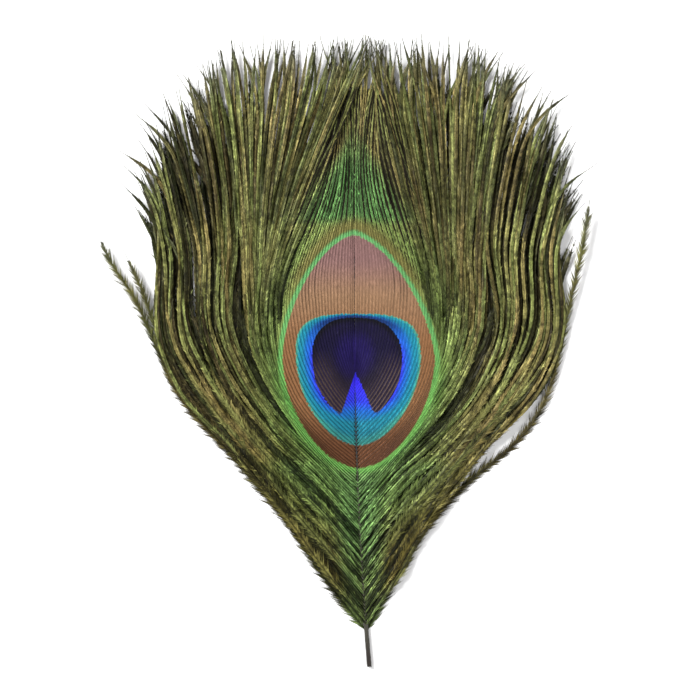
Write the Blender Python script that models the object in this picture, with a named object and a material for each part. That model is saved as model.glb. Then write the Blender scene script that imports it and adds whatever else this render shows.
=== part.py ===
"""A trimmed peacock tail feather, lying face up on a table.

The shaft runs along Y, its cut end at -Y. The barbs leave it on both sides, curve round the eye and fan out
towards +Y. Each run of barbs is one solid here, as deep as the barbs stand: the close-knit eye vane and the
loose herl on each side. The barbs that stand apart from the rest are solids of their own.
"""

import math

import bmesh
import bpy

MM = 0.001

# Driving dimensions, in millimetres. The origin is on the table, under the middle of the feather.
SHAFT_CUT_Y = -63.5  # the shaft's cut end
SHAFT_TIP_Y = -6.0  # where the shaft runs out, inside the eye
SHAFT_WIDTH = 1.15  # at the cut end
SHAFT_HEIGHT = 1.45
SHAFT_TIP_SHARE = 0.27  # of that width and height, at the tip
SHAFT_CUT_SLANT = 0.5  # how much further the cut end reaches underneath
AXIS_X = 2.2  # the shaft's line at the top of the feather
AXIS_BEND = 0.00062  # it drifts by this times the square of the distance below the straight stretch
AXIS_STRAIGHT_Y = 6.0

GAP = 0.35  # clear space between one solid and the next
LEFT, RIGHT = -1, 1
SPREAD = {LEFT: 1.0, RIGHT: 0.95}  # the fan is a little narrower on the right

# Guide barbs, from the lowest on the shaft to the one at its tip. Each is seven places that the barb passes
# through: how far out from the shaft's line, and how far up, in millimetres.
GUIDES = (
    ((0.0, -55.0), (7.4, -45.0), (14.6, -33.4), (25.4, -19.6), (35.0, -8.4), (40.2, 4.0), (44.4, 15.0)),
    ((0.0, -47.4), (7.4, -37.6), (17.2, -25.8), (27.0, -13.0), (35.4, 1.0), (40.2, 20.0), (45.0, 40.0)),
    ((0.0, -39.4), (7.4, -30.2), (16.6, -20.8), (25.4, -9.2), (31.8, 5.6), (36.6, 27.0), (42.4, 49.2)),
    ((0.0, -32.4), (7.6, -23.6), (16.6, -13.8), (23.6, -2.0), (27.6, 10.6), (29.4, 31.0), (34.2, 55.8)),
    ((0.0, -27.4), (6.8, -20.4), (13.6, -11.4), (19.0, -0.8), (21.2, 12.4), (22.0, 34.6), (23.0, 61.0)),
    ((0.0, -23.2), (7.0, -17.2), (12.6, -10.0), (15.9, -0.4), (16.0, 13.0), (12.2, 36.0), (9.6, 62.4)),
    ((0.0, -18.0), (5.6, -12.4), (10.0, -5.4), (12.5, 3.0), (12.6, 15.0), (8.4, 37.0), (5.4, 62.8)),
    ((0.0, -12.4), (4.0, -7.2), (7.2, -0.4), (8.6, 8.0), (8.4, 17.0), (5.2, 37.4), (2.9, 63.0)),
    ((0.0, -7.6), (2.0, -4.0), (3.9, 2.0), (4.6, 9.6), (4.4, 18.6), (2.6, 38.0), (1.3, 63.4)),
    ((0.0, -5.2), (0.35, -1.0), (0.5, 4.0), (0.5, 11.0), (0.5, 20.0), (0.4, 38.0), (0.3, 63.6)),
)
HERL_GUIDES = (0.55, 4.86)  # the herl fills the fan from the first of these guide numbers to the second
EYE_GUIDES = (5.0, 9.0)

# Single barbs that stand apart, as the guides: places passed through, out from the shaft's line and up.
STRAY_BARBS = {
    "left_stray_barb_long": (
        LEFT,
        ((0.9, -55.6), (7.6, -45.6), (14.6, -34.2), (25.3, -20.6), (35.0, -9.4), (40.4, 2.6), (43.9, 10.4),
         (48.4, 17.4), (51.2, 23.6)),
    ),
    "left_stray_barb_short": (
        LEFT,
        ((0.9, -54.2), (7.5, -43.9), (14.7, -32.2), (25.1, -18.5), (34.2, -8.0), (39.2, 3.4), (42.6, 12.6),
         (46.2, 20.4)),
    ),
    "right_stray_barb": (
        RIGHT,
        ((0.9, -55.6), (5.9, -46.4), (11.4, -37.4), (21.6, -26.8), (32.2, -18.2), (38.4, -8.6), (42.2, 6.2),
         (45.2, 20.0), (46.8, 30.0)),
    ),
}
STRAY_WIDTH = 0.55
STRAY_HEIGHT = 0.8
STRAY_TIP_LIFT = 2.9  # how high off the table a stray barb's tip stands
STRAY_TIP_SHARE = 0.45  # of its width and height, at the tip

EYE_DEPTH = 1.3  # the eye vane is this deep along the shaft
EYE_EDGE_DEPTH = 0.9  # and this deep at its sides
EYE_HALF_WIDTH = 16.0
HERL_DEPTH = 2.6  # the loose herl is this deep where it is fullest
FULL_HERL_OUT = 20.0  # which is this far out from the shaft
FRINGE_DEPTH = 2.0  # the loose tips above the eye
FRINGE_Y = (22.0, 48.0)  # the depth grows to that between these heights
TIP_NOTCH = 0.045  # every other column of a run stops short of the fan's edge by this share

HERL_COLUMNS, EYE_COLUMNS, ROWS = 22, 14, 13
SHAFT_RINGS, STRAY_RINGS = 26, 18

# The shaft's section, in shares of its width and height: rounded on top, a groove along its underside.
SHAFT_SECTION = (
    (0.0, 0.14), (0.2, 0.0), (0.42, 0.12), (0.5, 0.45), (0.42, 0.82), (0.2, 1.0),
    (-0.2, 1.0), (-0.42, 0.82), (-0.5, 0.45), (-0.42, 0.12), (-0.2, 0.0),
)  # fmt: skip
STRAY_SECTION = ((0.25, 0.0), (0.5, 0.5), (0.25, 1.0), (-0.25, 1.0), (-0.5, 0.5), (-0.25, 0.0))

# Colour, roughness and metallic value of each material.
MATERIALS = {
    "shaft": ((0.17, 0.15, 0.12), 0.45, 0.0),
    "eye_vane": ((0.22, 0.13, 0.06), 0.45, 0.3),
    "herl": ((0.12, 0.12, 0.03), 0.6, 0.2),
}


def clear_scene():
    for obj in list(bpy.data.objects):
        bpy.data.objects.remove(obj)


def make_material(name):
    colour, roughness, metallic = MATERIALS[name]
    material = bpy.data.materials.new(name)
    material.use_nodes = True
    shader = material.node_tree.nodes["Principled BSDF"]
    shader.inputs["Base Color"].default_value = (*colour, 1.0)
    shader.inputs["Roughness"].default_value = roughness
    shader.inputs["Metallic"].default_value = metallic
    return material


def smoothstep(low, high, value):
    share = min(max((value - low) / (high - low), 0.0), 1.0)
    return share * share * (3.0 - 2.0 * share)


def axis_x(y):
    """Where the shaft's line is, at this height of the feather."""
    return AXIS_X + AXIS_BEND * max(AXIS_STRAIGHT_Y - y, 0.0) ** 2


def shaft_share(y):
    """The shaft's width or height here, as a share of that at its cut end."""
    along = min(max((y - SHAFT_CUT_Y) / (SHAFT_TIP_Y - SHAFT_CUT_Y), 0.0), 1.0)
    return 1.0 - (1.0 - SHAFT_TIP_SHARE) * along**1.2


def shaft_clearance(y):
    """How far out from the shaft's line the first solid beside it may come."""
    past_tip = y > SHAFT_TIP_Y + GAP
    return GAP / 2 if past_tip else SHAFT_WIDTH / 2 * shaft_share(y) + GAP


def through(places, at):
    """The point at parameter at, in whole places and parts of one, of a smooth curve through the places."""
    last = len(places) - 1
    index = min(max(int(math.floor(at)), 0), last - 1)
    t = at - index
    before = places[max(index - 1, 0)]
    start, end = places[index], places[index + 1]
    after = places[min(index + 2, last)]
    return tuple(
        0.5 * (2 * b + (c - a) * t + (2 * a - 5 * b + 4 * c - d) * t * t + (3 * b - a - 3 * c + d) * t**3)
        for a, b, c, d in zip(before, start, end, after)
    )


def barb_places(guide):
    """The seven places of the barb at this guide number, between the guides on either side of it."""
    return tuple(through([barb[i] for barb in GUIDES], guide) for i in range(len(GUIDES[0])))


def on_feather(side, out, up):
    """The X and Y of a place, kept clear of the shaft and of the other side."""
    out = max(out * SPREAD[side], shaft_clearance(up))
    return axis_x(up) + side * out, up


def depth(side, x, y):
    """How high the top of a run of barbs stands here."""
    out = abs(x - axis_x(y))
    vane = EYE_DEPTH - (EYE_DEPTH - EYE_EDGE_DEPTH) * min(out / EYE_HALF_WIDTH, 1.0)
    fringe = vane + (FRINGE_DEPTH - vane) * smoothstep(*FRINGE_Y, y)
    return fringe + (HERL_DEPTH - fringe) * smoothstep(EYE_HALF_WIDTH * 0.6, FULL_HERL_OUT, out)


def add_object(name, mesh, material):
    bmesh.ops.recalc_face_normals(mesh, faces=mesh.faces)
    data = bpy.data.meshes.new(name)
    mesh.to_mesh(data)
    mesh.free()
    data.materials.append(material)
    obj = bpy.data.objects.new(name, data)
    bpy.context.scene.collection.objects.link(obj)
    return obj


def run_of_barbs(name, side, guides, columns, material):
    """A slab with a flat underside that fills the fan between two guide numbers, serrated at the barbs' tips."""
    mesh = bmesh.new()
    first, last = guides
    grid = []
    for column in range(columns + 1):
        places = barb_places(first + (last - first) * column / columns)
        reach = (len(places) - 1) * (1.0 - TIP_NOTCH * (column % 2))
        spots = [on_feather(side, *through(places, reach * row / ROWS)) for row in range(ROWS + 1)]
        grid.append([mesh.verts.new((x * MM, y * MM, 0.0)) for x, y in spots])
    for near, far in zip(grid, grid[1:]):
        for row in range(ROWS):
            mesh.faces.new((near[row], far[row], far[row + 1], near[row + 1]))
    raised = bmesh.ops.extrude_face_region(mesh, geom=mesh.faces[:], use_keep_orig=True)["geom"]
    for vert in raised:
        if isinstance(vert, bmesh.types.BMVert):
            vert.co.z = depth(side, vert.co.x / MM, vert.co.y / MM) * MM
    return add_object(name, mesh, material)


def loft(name, rings, material):
    """A closed body through rings of points, capped at both ends."""
    mesh = bmesh.new()
    loops = [[mesh.verts.new(point) for point in ring] for ring in rings]
    for near, far in zip(loops, loops[1:]):
        for i in range(len(near)):
            j = (i + 1) % len(near)
            mesh.faces.new((near[i], near[j], far[j], far[i]))
    mesh.faces.new(loops[0])
    mesh.faces.new(loops[-1])
    return add_object(name, mesh, material)


def section_ring(section, x, y, z, heading, width, height):
    """A section set upright across the heading, which is an angle from +Y, with its foot at z."""
    across = (math.cos(heading), -math.sin(heading))
    return [
        ((x + across[0] * u * width) * MM, (y + across[1] * u * width) * MM, (z + v * height) * MM)
        for u, v in section
    ]


def shaft(material):
    rings = []
    for k in range(SHAFT_RINGS + 1):
        y = SHAFT_CUT_Y + (SHAFT_TIP_Y - SHAFT_CUT_Y) * k / SHAFT_RINGS
        share = shaft_share(y)
        rings.append(
            section_ring(SHAFT_SECTION, axis_x(y), y, 0.0, 0.0, SHAFT_WIDTH * share, SHAFT_HEIGHT * share)
        )
    top = SHAFT_HEIGHT * MM
    rings[0] = [(x, y + SHAFT_CUT_SLANT * MM * z / top, z) for x, y, z in rings[0]]
    obj = loft("shaft", rings, material)
    obj.data.shade_smooth()
    obj.data.set_sharp_from_angle(angle=math.radians(50))
    return obj


def stray_barb(name, side, places, material):
    """One barb that stands apart: it lies on the table along the herl and lifts off it towards its tip."""
    last = len(places) - 1
    spots = []
    for k in range(STRAY_RINGS + 1):
        out, up = through(places, last * k / STRAY_RINGS)
        spots.append((axis_x(up) + side * out, up))
    rings = []
    for k, (x, y) in enumerate(spots):
        behind, ahead = spots[max(k - 1, 0)], spots[min(k + 1, STRAY_RINGS)]
        heading = math.atan2(ahead[0] - behind[0], ahead[1] - behind[1])
        along = k / STRAY_RINGS
        share = 1.0 - (1.0 - STRAY_TIP_SHARE) * along
        lift = STRAY_TIP_LIFT * smoothstep(0.45, 1.0, along)
        rings.append(
            section_ring(STRAY_SECTION, x, y, lift, heading, STRAY_WIDTH * share, STRAY_HEIGHT * share)
        )
    return loft(name, rings, material)


def main():
    clear_scene()
    materials = {name: make_material(name) for name in MATERIALS}
    shaft(materials["shaft"])
    for side, word in ((LEFT, "left"), (RIGHT, "right")):
        run_of_barbs(f"{word}_eye_vane", side, EYE_GUIDES, EYE_COLUMNS, materials["eye_vane"])
        run_of_barbs(f"{word}_herl", side, HERL_GUIDES, HERL_COLUMNS, materials["herl"])
    for name, (side, places) in STRAY_BARBS.items():
        stray_barb(name, side, places, materials["herl"])


main()
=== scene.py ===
"""The looks of the peacock feather: its quill and barbs, the floor, the light and the camera.

Lengths are in millimetres until a mesh is made. The feather lies face up on the floor, with its tip at +Y.

A barb is a slim tube, its ramus, with a row of barbules on each side. It follows a fan of guide barbs. Its
guide number, from 0 at the lowest to 9 at the shaft's tip, may change on its way to gather or part the barbs.
"""

from collections import namedtuple
import math

import bpy
import numpy as np
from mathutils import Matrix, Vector


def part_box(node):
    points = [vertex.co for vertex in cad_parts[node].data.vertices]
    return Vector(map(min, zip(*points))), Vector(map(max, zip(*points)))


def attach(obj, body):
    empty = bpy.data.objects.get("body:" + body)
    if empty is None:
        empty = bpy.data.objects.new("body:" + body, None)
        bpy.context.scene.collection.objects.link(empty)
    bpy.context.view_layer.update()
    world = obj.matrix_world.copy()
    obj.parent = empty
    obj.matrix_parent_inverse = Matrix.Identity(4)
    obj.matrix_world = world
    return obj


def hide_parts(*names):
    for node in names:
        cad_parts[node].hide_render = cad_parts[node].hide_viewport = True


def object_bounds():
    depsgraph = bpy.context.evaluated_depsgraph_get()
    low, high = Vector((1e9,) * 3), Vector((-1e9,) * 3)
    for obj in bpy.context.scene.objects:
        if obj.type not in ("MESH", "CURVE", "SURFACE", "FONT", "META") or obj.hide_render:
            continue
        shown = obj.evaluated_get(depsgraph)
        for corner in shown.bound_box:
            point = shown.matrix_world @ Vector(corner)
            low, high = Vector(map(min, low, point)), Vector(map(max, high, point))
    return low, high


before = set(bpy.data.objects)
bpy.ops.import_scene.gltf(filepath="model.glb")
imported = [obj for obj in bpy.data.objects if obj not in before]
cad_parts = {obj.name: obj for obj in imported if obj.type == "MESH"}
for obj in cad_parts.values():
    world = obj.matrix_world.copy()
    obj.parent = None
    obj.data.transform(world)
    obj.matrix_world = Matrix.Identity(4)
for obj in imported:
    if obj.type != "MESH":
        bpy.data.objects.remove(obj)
cad_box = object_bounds()

MM = 0.001
LEFT, RIGHT = -1, 1
SIDE_WORD = {LEFT: "left", RIGHT: "right"}
SEED = 7
# The numbers after the seed that keep one use of the random generator apart from another.
THIN_LOCK_DRAWS, BROAD_LOCK_DRAWS, EYE_DRAWS, STRAY_DRAWS, QUILL_DRAWS = 20, 30, 9, 5, 9

# --- The feather's lines, as in the CAD ---

AXIS_X = 2.2  # the shaft's line at the top of the feather
AXIS_BEND = 0.00062  # it drifts by this times the square of the distance below the straight stretch
AXIS_STRAIGHT_Y = 6
SHAFT_TIP_SHARE = 0.27  # of its width and height, at the tip
SHAFT_TAPER = 1.2

# Guide barbs, from the lowest on the shaft to the one at its tip. Each is seven places that the barb passes
# through: how far out from the shaft's line, and how far up.
GUIDES = np.array((
    ((0, -55), (7.4, -45), (14.6, -33.4), (25.4, -19.6), (35, -8.4), (41, 8), (44.6, 30)),
    ((0, -47.4), (7.4, -37.6), (17.2, -25.8), (27, -13), (35.4, 1), (40.2, 20), (45, 40)),
    ((0, -39.4), (7.4, -30.2), (16.6, -20.8), (25.4, -9.2), (31.8, 5.6), (36.6, 27), (42.4, 49.2)),
    ((0, -32.4), (7.6, -23.6), (16.6, -13.8), (23.6, -2), (27.6, 10.6), (29.4, 31), (34.2, 56.8)),
    ((0, -27.4), (6.8, -20.4), (13.6, -11.4), (19, -0.8), (21.2, 12.4), (22, 34.6), (23, 62.6)),
    ((0, -23.2), (7, -17.2), (12.6, -10), (15.9, -0.4), (16, 13), (12.2, 36), (9.6, 62.4)),
    ((0, -18), (5.6, -12.4), (10, -5.4), (12.5, 3), (12.6, 15), (8.4, 37), (5.4, 62.8)),
    ((0, -12.4), (4, -7.2), (7.2, -0.4), (8.6, 8), (8.4, 17), (5.2, 37.4), (2.9, 63)),
    ((0, -7.6), (2, -4), (3.9, 2), (4.6, 9.6), (4.4, 18.6), (2.6, 38), (1.3, 63.4)),
    ((0, -5.2), (0.35, -1), (0.5, 4), (0.5, 11), (0.5, 20), (0.4, 38), (0.3, 63.6)),
))
GUIDE_COUNT, PLACE_COUNT = GUIDES.shape[:2]
LAST_PLACE = PLACE_COUNT - 1
# Above the eye its barbs gather to a point and cross. These stand in for the last places of the guides from
# EYE_FIRST on. The left side's outermost barbs pass over the middle.
EYE_FIRST = 5
FRINGE = {
    LEFT: np.array((
        ((9.2, 33), (-3.6, 62.8)), ((5.4, 35.4), (1, 62.2)), ((3.1, 37.4), (4.6, 62.8)),
        ((1.6, 38), (3, 63)), ((0.15, 38), (0.4, 63.2)),
    )),
    RIGHT: np.array((
        ((11.6, 34), (5.6, 63)), ((6.8, 36), (2.6, 62.4)), ((3.6, 37.4), (6.4, 62.8)),
        ((1.7, 38), (3.8, 63)), ((0.15, 38), (1.4, 63.2)),
    )),
}
FRINGE_PLACES = 2

# The loose barbs stand further out than the guides low on the feather, and less far towards its top, by these
# shares. Each sets in over its own heights.
SPREAD = {LEFT: (0, 0.09), RIGHT: (0.06, 0.12)}
SPREAD_LOW_HEIGHTS, SPREAD_HIGH_HEIGHTS = (-30, -8), (0, 22)
SPREAD_GUIDES = (5, 3)  # fully from the second guide down, and not above the first

STRAY_BARBS = {
    "left_stray_barb_long": (
        LEFT,
        ((0.3, -55.8), (7.6, -45.6), (14.6, -34.2), (25.3, -20.6), (35, -9.4), (40.4, 2.6), (43.9, 10.4),
         (48.4, 17.4), (51.2, 23.6)),
    ),
    "left_stray_barb_short": (
        LEFT,
        ((0.3, -54.6), (7.5, -43.9), (14.7, -32.2), (25.1, -18.5), (34.2, -8), (39.2, 3.4), (42.6, 12.6),
         (46.2, 20.4)),
    ),
    "right_stray_barb": (
        RIGHT,
        ((0.3, -55.8), (5.9, -46.4), (11.4, -37.4), (21.6, -26.8), (32.2, -18.2), (38.4, -8.6), (42.2, 6.2),
         (45.2, 20), (46.8, 30)),
    ),
}
STRAY_HEIGHT, STRAY_TIP_LIFT = 0.4, 2.6
STRAY_POINTS = 110  # on its path
STRAY_TINT, STRAY_ROLL = 0.5, 0.4


# --- The loose barbs and the eye's ---

FLOOR_GAP, TOP = 0.02, 3.3  # the heights that all barbs and barbules stay between
LOWEST, HIGHEST = 0.12, 2.85  # the heights that a loose barb's own line stays between
OUTER_GUIDES = (4.4, 1)  # the barbs are more and more at the outside from the first to the second
LAST_LOOSE_GUIDE = 6.6
BARB_ROOT_HEIGHT = 1.02  # of the shaft's height
BURIED_ROOT_SHARE = 0.55  # of that, for the barbs under the uppermost
HERL_ROLL, FRINGE_ROLL = 0.6, 0.4  # how far a barb turns about its own line, in radians
CROSSING_LIFT = {LEFT: 1, RIGHT: 0.75}  # how high the eye's outermost barbs pass over the middle
CURL_DROP = 0.32  # how much shorter a barb ends for each millimetre that its tip bends sideways

# Of each layer: its piece, how many barbs on a side, the guide numbers of the first and last, the place along
# them where they are evenly apart, the points on a path, the tones, and how far a barb strays. The middle and
# lower layers' tones are low: painted shade in the gaps between the barbs on top.
Layer = namedtuple("Layer", "name piece count guides even_at points tints wander")
LAYERS = (
    Layer("upper", "herl", 48, (0.1, 4.97), 0, 72, (0.62, 1), 0.06),
    Layer("crown", "crown", 56, (3, 5.5), 5.5, 64, (0.5, 1), 0.06),
    Layer("middle", "under", 58, (0.2, 5.6), 3, 52, (0.05, 0.4), 0.12),
    Layer("lower", "under", 66, (0.9, 6.6), 5.2, 40, (0, 0.16), 0.1),
)
HERL_PIECES = ("herl", "crown", "under")
# How much shorter than its guide a barb is, as a share of its length. A few are broken off shorter still.
LENGTH_LOSS = {"herl": (0, 0.02), "crown": (0, 0.02), "under": (0.04, 0.1)}
BROKEN_BARBS, BROKEN_LENGTHS = 0.08, (0.7, 0.95)
HOOKED_BARBS, HOOKS = 0.25, (2, 6)  # the share whose tips hook over, and how far

THIN_LOCKS, BROAD_LOCKS = (0.10, 0.26), (0.5, 1.1)  # widths of the locks of barbs, in guide numbers
LOCK_TONES = (-0.22, 0.05)  # how much darker or lighter a thin lock is
GUIDE_SLIP = 0.012
# The barbs on top part here, at this guide number, so that the dark ones under them show.
PARTING = {LEFT: 3.5, RIGHT: 3.05}
PARTING_SHIFT = {LEFT: 0.16, RIGHT: 0.24}
PARTING_REACH = 0.4  # in guide numbers
ROPE_GUIDES = (3.6, 2.4)  # over these the upper barbs become separate ropes
RAISED_SHARE = {LEFT: 0.46, RIGHT: 0.33}  # how many of the ropes lie on top and catch the light
# Painted highlight: the tone given to the raised ropes.
RAISED_HIGHLIGHT = 0.95

EYE_BARBS = 28  # on each side of the shaft
EYE_GUIDES = (5, 9)
EYE_LOCKS = (0.2, 0.36)
EYE_POINTS = 72  # on a barb's path
EYE_TINTS = (0.86, 1)
WEB_TOP, WEB_REACH, WEB_DROP = 50, 0.45, 0.14  # where it ends, its half-width, and its depth below a barb

# --- Barbules ---

RAMUS_SIDES = 4
HERL_THICK, EYE_THICK, STRAY_THICK = 0.11, 0.085, 0.12  # half a ramus's thickness at its root
TIP_THICK = 0.075  # and at its tip
RAMUS_TAPER = 0.8
BARE_ROOT, BARE_TIP = 0.2, (0.6, 3)  # lengths of a ramus without barbules
HIDDEN_BARE_SHARE = 0.27  # of a barb whose lower part lies under others
FADE_LENGTH = 4  # the barbules get shorter over this length before the bare tip
CROWN_UNDER_SHADE = 0.7  # painted shade: how much darker the crown's barbs are where they lie under the others
KNOT_LENGTHS = (1.5, 2.6)
TONE_SWING, TONE_WAVES = 0.10, (6, 30)  # how a barb's shade varies along it, and over what lengths


def barbules(reach, angle, spacing, width, ribbon):
    """A kind of barbule, its angle in degrees, and half the width of the ribbon where they overlap."""
    return np.array((reach, angle, spacing, width, ribbon))


HERL_BARBULES = barbules(reach=0.68, angle=40, spacing=0.32, width=0.2, ribbon=0.34)
NEAR_BARBULES = barbules(reach=0.75, angle=24, spacing=0.26, width=0.13, ribbon=0.17)  # near the shaft
LOW_BARBULES = barbules(reach=2, angle=38, spacing=0.21, width=0.14, ribbon=0.5)  # on the lowest barbs
UNDER_BARBULES = barbules(reach=1.5, angle=30, spacing=0.85, width=0.3, ribbon=0.5)
FRINGE_BARBULES = barbules(reach=0.8, angle=16, spacing=0.3, width=0.13, ribbon=0.15)
STRAY_BARBULES = barbules(reach=2.1, angle=36, spacing=0.2, width=0.17, ribbon=0.15)
TIDY_BARBULES = barbules(reach=0.87, angle=38, spacing=0.19, width=0.2, ribbon=0)  # in the eye

# The kinds of barbule at a barb's root, along it and at its tip, half the ramus's thickness at the root, the
# points across its ribbon, the painted shade that darkens it under other barbs, and how far its barbules
# hook together.
Dress = namedtuple("Dress", "root main tip thick ribbon_points hidden knit", defaults=(5, 0, 1))
UNDER_DRESS = Dress(UNDER_BARBULES, UNDER_BARBULES, UNDER_BARBULES, HERL_THICK, ribbon_points=3, knit=0)
EYE_DRESS = Dress(FRINGE_BARBULES, FRINGE_BARBULES, FRINGE_BARBULES, EYE_THICK)
STRAY_DRESS = Dress(STRAY_BARBULES, STRAY_BARBULES, STRAY_BARBULES, STRAY_THICK)
# Where one kind gives way to the next: in millimetres from the root, and as shares of the barb's length.
ROOT_END, TIP_START = (3, 14), (0.3, 0.6)

# --- Eye zones ---

# Superellipses: the middle, the half-width, the height of the widest place, how far it reaches above and
# below that, and the exponents of the upper and the lower half.
Zone = namedtuple("Zone", "middle half widest top bottom power_top power_bottom")
ZONES = {
    "rim": Zone(3.05, 16.2, -1.5, 25.5, 23.3, 1.57, 1.78),
    "copper": Zone(3.05, 15.2, -1.5, 24.5, 22.1, 1.57, 1.78),
    "teal": Zone(3, 12.45, -1.4, 8.7, 17.6, 3.2, 1.8),
    "heart": Zone(2.75, 9.1, -1.4, 8.1, 12.4, 2.4, 2),
}
EYE_LEAN = -0.04  # the eye's middle moves by this much for each millimetre above its widest place
KNIT_EDGE = (1.13, 1.06)  # the barbules hook into each other within this edge round the copper
NOTCH_TIP = (2.4, -4.7)
NOTCH_SLOPE = 0.4  # half its width for each millimetre below its tip
NOTCH_LEAN = -0.06


# --- Small sums ---


def draws(*numbers):
    return np.random.default_rng([SEED, *numbers])


def rise(low, high, value):
    """0 below low, 1 above high, and smooth between them. A high under low turns it round."""
    share = np.clip((value - low) / (high - low), 0, 1)
    return share * share * (3 - 2 * share)


def unit(vectors):
    return vectors / np.maximum(np.linalg.norm(vectors, axis=-1, keepdims=True), 1e-9)


def distances(points):
    """How far along their line each of the points is."""
    steps = np.linalg.norm(np.diff(points, axis=0), axis=1)
    return np.concatenate(([0], np.cumsum(steps)))


def larger(a, b):
    """The larger of two numbers or of two values in a material."""
    return a.at_least(b) if isinstance(a, Number) else np.maximum(a, b)


def is_over(a, b):
    return a.over(b) if isinstance(a, Number) else (a > b) * 1


def axis_x(y):
    """Where the shaft's line is, at this height of the feather."""
    return AXIS_X + AXIS_BEND * larger(AXIS_STRAIGHT_Y - y, 0) ** 2


def taps(at, count):
    """The four places that a smooth curve through count places reads at each parameter, and their weights."""
    index = np.clip(np.floor(at).astype(int), 0, count - 2)
    t = at - index
    places = np.clip(index[..., None] + np.arange(-1, 3), 0, count - 1)
    weights = 0.5 * np.stack(
        (-t + 2 * t**2 - t**3, 2 - 5 * t**2 + 3 * t**3, t + 4 * t**2 - 3 * t**3, t**3 - t**2), axis=-1
    )
    return places, weights


def through(places, at):
    """Points of a smooth curve through the places, at parameters in whole places and parts of one."""
    places = np.asarray(places, float)
    found, weights = taps(np.asarray(at, float), len(places))
    return np.einsum("...k,...kc->...c", weights, places[found])


def on_fan(side, guide, at):
    """Out and up of the fan's places at these guide numbers and distances along them."""
    fan = GUIDES.copy()
    fan[EYE_FIRST:, -FRINGE_PLACES:] = FRINGE[side]
    rows, row_weights = taps(guide, len(fan))
    columns, column_weights = taps(at, fan.shape[1])
    spots = fan[rows[..., :, None], columns[..., None, :]]
    return np.einsum("...i,...j,...ijc->...c", row_weights, column_weights, spots)


def waves(rng, at, shortest, longest, count=4):
    """A smooth random line over at, from about -1 to 1, made of waves between these lengths."""
    lengths = rng.uniform(shortest, longest, count)
    starts = rng.uniform(0, 2 * math.pi, count)
    total = sum(np.sin(2 * math.pi * at / length + start) for length, start in zip(lengths, starts))
    return total / math.sqrt(count)


def zone(x, y, name):
    """1 on a zone's outline, less inside it and more outside it, of numbers or of values in a material."""
    shape = ZONES[name]
    above = larger(y - shape.widest, 0)
    across = abs(x - shape.middle - above * EYE_LEAN) / shape.half
    along = above / shape.top + larger(shape.widest - y, 0) / shape.bottom
    power = shape.power_bottom + is_over(y, shape.widest) * (shape.power_top - shape.power_bottom)
    return (across**power + along**power) ** (1 / power)


def tidiness(x, y):
    """1 where the barbules hook into each other, in and round the eye, and 0 where the barbs are loose."""
    return rise(*KNIT_EDGE, zone(x, y, "copper"))


# --- Meshes of barbs ---


def strip(first, next_one):
    """The triangles between two rows of points, given as the point numbers that start each square."""
    return np.stack(
        (np.stack((first, next_one, next_one + 1), -1), np.stack((first, next_one + 1, first + 1), -1))
    )


def fill(target, name, values, kind=np.float32):
    target.foreach_set(name, values.astype(kind).ravel())


class Path:
    """A barb's line with its own axes: forward, sideways (away from the shaft) and up."""

    def __init__(self, side, points, roll):
        self.side = side
        self.s = distances(points)
        self.length = self.s[-1]
        self.share = self.s / self.length
        self.points = points
        self.forward = unit(np.gradient(points, self.s, axis=0))
        level = unit(np.cross(self.forward, (0, 0, 1)) * side)
        upright = np.cross(level, self.forward) * side
        turn = roll[:, None]
        self.sideways = np.cos(turn) * level + np.sin(turn) * upright
        self.up = np.cos(turn) * upright - np.sin(turn) * level

    def read(self, values, s):
        """Values or vectors that are known at the path's points, at these distances along it."""
        if values.ndim == 1:
            return np.interp(s, self.s, values)
        return np.stack([np.interp(s, self.s, values[:, k]) for k in range(values.shape[1])], axis=1)


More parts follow.
